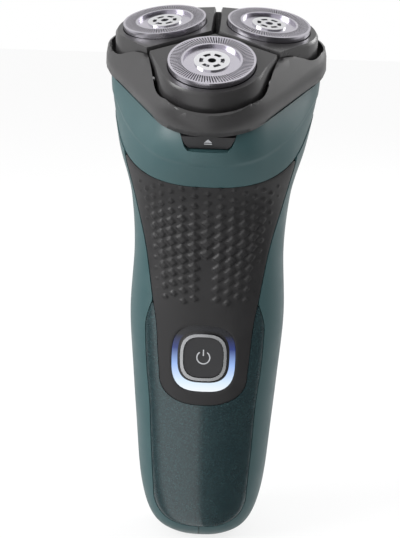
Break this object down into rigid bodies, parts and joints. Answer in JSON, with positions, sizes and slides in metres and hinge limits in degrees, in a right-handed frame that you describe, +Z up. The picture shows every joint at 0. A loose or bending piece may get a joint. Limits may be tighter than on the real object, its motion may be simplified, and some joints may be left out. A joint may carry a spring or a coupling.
{
  "type": "rotary electric shaver",
  "caption": "Hand-held rotary shaver: tilted head with three sprung round cutting units over a gear train, contoured handle with power button and pop-up trimmer.",
  "frame": {"origin": "middle of the charging inlet's mouth, in the plane of the small flat foot", "axes": "+Z up along the handle to the head, -Y the front with the power button, +X to the right seen from the front"},
  "size_m": [0.0632, 0.0588, 0.1571],
  "materials": {
    "teal_shell": "satin dark teal",
    "black_plastic": "satin",
    "grip_rubber": "matt, moulded texture",
    "gloss_panel": "high gloss with metal flake",
    "light": "clear white light guide",
    "chrome_ring": "bright",
    "board": "satin",
    "cell_wrap": "satin",
    "contact_brass": "bright",
    "motor_steel": "satin",
    "nylon": "satin",
    "gloss_black": "gloss",
    "head_plastic": "satin black",
    "guard_steel": "fine turned, slight violet tint",
    "bright_steel": "bright",
    "blade_steel": "ground",
    "hub_plastic": "satin"
  },
  "bodies": {
    "handle": {"rear_housing": "teal_shell", "front_cover": "black_plastic", "grip_panel": "grip_rubber", "front_panel": "gloss_panel", "collar": "teal_shell", "button_bezel": "black_plastic", "light_guide": "light", "button_ring": "chrome_ring", "circuit_board": "board", "power_switch": "black_plastic", "battery_cell": "cell_wrap", "cell_cradle": "black_plastic", "charging_socket": "black_plastic", "contact_pins": "contact_brass", "motor_can": "motor_steel", "motor_clamp": "black_plastic", "gear_plate": "nylon", "deck": "black_plastic", "deck_screws": "motor_steel", "hinge_pin": "motor_steel", "trimmer_pin": "motor_steel"},
    "button": {"power_button": "black_plastic"},
    "release": {"release_button": "gloss_black"},
    "rotor": {"motor_rotor": "motor_steel"},
    "sun": {"sun_wheel": "nylon"},
    "head": {"head_frame": "head_plastic", "tilt_pins": "motor_steel"},
    "trimmer": {"trimmer_body": "black_plastic", "trimmer_comb": "blade_steel"},
    "trimmer_cutter": {"trimmer_blade": "blade_steel"},
    "trimmer_switch": {"trimmer_slide": "gloss_black"},
    "gear_1": {"drive_gear_1": "nylon", "spindle_1": "motor_steel"},
    "unit_1": {"holder_1": "head_plastic", "retainer_1": "black_plastic"},
    "shield_1": {"guard_1": "guard_steel", "guard_cap_1": "bright_steel"},
    "knife_1": {"cutter_1": "blade_steel", "cutter_hub_1": "hub_plastic"},
    "gear_2": {"drive_gear_2": "nylon", "spindle_2": "motor_steel"},
    "unit_2": {"holder_2": "head_plastic", "retainer_2": "black_plastic"},
    "shield_2": {"guard_2": "guard_steel", "guard_cap_2": "bright_steel"},
    "knife_2": {"cutter_2": "blade_steel", "cutter_hub_2": "hub_plastic"},
    "gear_3": {"drive_gear_3": "nylon", "spindle_3": "motor_steel"},
    "unit_3": {"holder_3": "head_plastic", "retainer_3": "black_plastic"},
    "shield_3": {"guard_3": "guard_steel", "guard_cap_3": "bright_steel"},
    "knife_3": {"cutter_3": "blade_steel", "cutter_hub_3": "hub_plastic"}
  },
  "joints": [
    {"name": "head_hinge", "type": "hinge", "parent": "handle", "child": "head", "pos_m": [0, 0.02393, 0.14594], "axis": [-1, 0, 0], "range_deg": [0, 95]},
    {"name": "release_press", "type": "slide", "parent": "handle", "child": "release", "axis": [0, 0.9272, 0.3746], "range_m": [0, 0.0012], "stiffness_N_per_m": 600, "springref_m": -0.0008},
    {"name": "power_press", "type": "slide", "parent": "handle", "child": "button", "axis": [0, 1, 0], "range_m": [0, 0.0007], "stiffness_N_per_m": 900, "springref_m": -0.0008},
    {"name": "motor_spin", "type": "hinge", "parent": "handle", "child": "rotor", "pos_m": [0, 0.00425, 0.1271], "axis": [0, 0, 1], "continuous": true},
    {"name": "sun_spin", "type": "hinge", "parent": "handle", "child": "sun", "pos_m": [0, 0.00167, 0.1335], "axis": [0, -0.3746, 0.9272], "continuous": true},
    {"name": "gear_spin_1", "type": "hinge", "parent": "handle", "child": "gear_1", "pos_m": [0, -0.0134, 0.12741], "axis": [0, -0.3746, 0.9272], "continuous": true},
    {"name": "unit_tilt_1", "type": "hinge", "parent": "head", "child": "unit_1", "pos_m": [0, -0.01746, 0.13747], "axis": [1, 0, 0], "range_deg": [-4, 4], "stiffness_Nm_per_rad": 0.05},
    {"name": "guard_float_1", "type": "slide", "parent": "unit_1", "child": "shield_1", "axis": [0, 0.4848, -0.8746], "range_m": [0, 0.0008], "stiffness_N_per_m": 500, "springref_m": -0.001},
    {"name": "cutter_spin_1", "type": "hinge", "parent": "shield_1", "child": "knife_1", "pos_m": [0, -0.01892, 0.1401], "axis": [0, -0.4848, 0.8746], "continuous": true},
    {"name": "gear_spin_2", "type": "hinge", "parent": "handle", "child": "gear_2", "pos_m": [0.01407, 0.0092, 0.13654], "axis": [0, -0.3746, 0.9272], "continuous": true},
    {"name": "unit_tilt_2", "type": "hinge", "parent": "head", "child": "unit_2", "pos_m": [0.01407, 0.00513, 0.1466], "axis": [-0.5, 0.803, 0.3244], "range_deg": [-4, 4], "stiffness_Nm_per_rad": 0.05},
    {"name": "guard_float_2", "type": "slide", "parent": "unit_2", "child": "shield_2", "axis": [-0.1055, 0.3153, -0.9431], "range_m": [0, 0.0008], "stiffness_N_per_m": 500, "springref_m": -0.001},
    {"name": "cutter_spin_2", "type": "hinge", "parent": "shield_2", "child": "knife_2", "pos_m": [0.01439, 0.00419, 0.14943], "axis": [0.1055, -0.3153, 0.9431], "continuous": true},
    {"name": "gear_spin_3", "type": "hinge", "parent": "handle", "child": "gear_3", "pos_m": [-0.01407, 0.0092, 0.13654], "axis": [0, -0.3746, 0.9272], "continuous": true},
    {"name": "unit_tilt_3", "type": "hinge", "parent": "head", "child": "unit_3", "pos_m": [-0.01407, 0.00513, 0.1466], "axis": [-0.5, -0.803, -0.3244], "range_deg": [-4, 4], "stiffness_Nm_per_rad": 0.05},
    {"name": "guard_float_3", "type": "slide", "parent": "unit_3", "child": "shield_3", "axis": [0.1055, 0.3153, -0.9431], "range_m": [0, 0.0008], "stiffness_N_per_m": 500, "springref_m": -0.001},
    {"name": "cutter_spin_3", "type": "hinge", "parent": "shield_3", "child": "knife_3", "pos_m": [-0.01439, 0.00419, 0.14943], "axis": [-0.1055, -0.3153, 0.9431], "continuous": true},
    {"name": "trimmer_hinge", "type": "hinge", "parent": "handle", "child": "trimmer", "pos_m": [0, 0.0151, 0.0852], "axis": [-1, 0, 0], "range_deg": [0, 60]},
    {"name": "trimmer_stroke", "type": "slide", "parent": "trimmer", "child": "trimmer_cutter", "axis": [1, 0, 0], "range_m": [-0.0007, 0.0007], "stiffness_N_per_m": 100},
    {"name": "trimmer_switch_slide", "type": "slide", "parent": "handle", "child": "trimmer_switch", "axis": [0, 0, -1], "range_m": [0, 0.004]}
  ],
  "couplings": [
    {"joint": "sun_spin", "follows": "motor_spin", "ratio": 1},
    {"joint": "gear_spin_1", "follows": "motor_spin", "ratio": -0.71053},
    {"joint": "cutter_spin_1", "follows": "motor_spin", "ratio": -0.71053},
    {"joint": "gear_spin_2", "follows": "motor_spin", "ratio": -0.71053},
    {"joint": "cutter_spin_2", "follows": "motor_spin", "ratio": -0.71053},
    {"joint": "gear_spin_3", "follows": "motor_spin", "ratio": -0.71053},
    {"joint": "cutter_spin_3", "follows": "motor_spin", "ratio": -0.71053},
    {"joint": "trimmer_switch_slide", "follows": "trimmer_hinge", "m_per_rad": 0.0038159}
  ]
}
